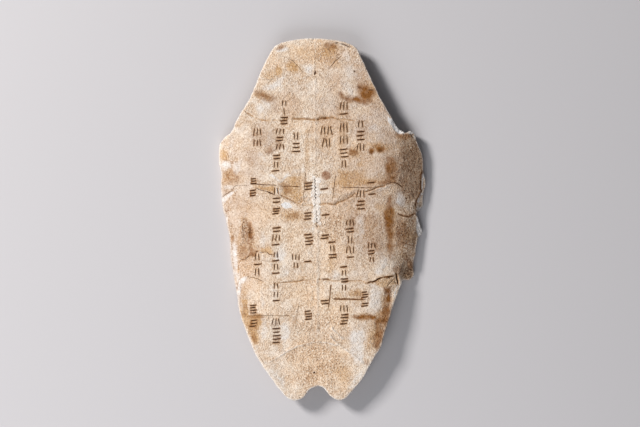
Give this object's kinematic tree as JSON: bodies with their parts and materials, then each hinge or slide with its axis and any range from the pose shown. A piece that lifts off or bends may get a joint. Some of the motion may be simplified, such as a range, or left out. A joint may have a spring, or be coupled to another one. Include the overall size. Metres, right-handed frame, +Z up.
{
  "type": "turtle plastron oracle bone",
  "caption": "Ancient turtle plastron, a shallow arched bone plate with notched tail, scute seams, divination cracks and rows of short incised strokes, lying face up.",
  "frame": {"origin": "on the table, under the middle of the plastron's box", "axes": "+Z up, out of the inscribed outer face; +Y along the median seam towards the head end; +X to the right of the inscribed face"},
  "size_m": [0.115, 0.2, 0.0115],
  "materials": {
    "bone": "dry aged bone, matt with faintly polished high spots, cream to tan with brown stains"
  },
  "bodies": {
    "root": {"plastron": "bone"}
  },
  "joints": []
}
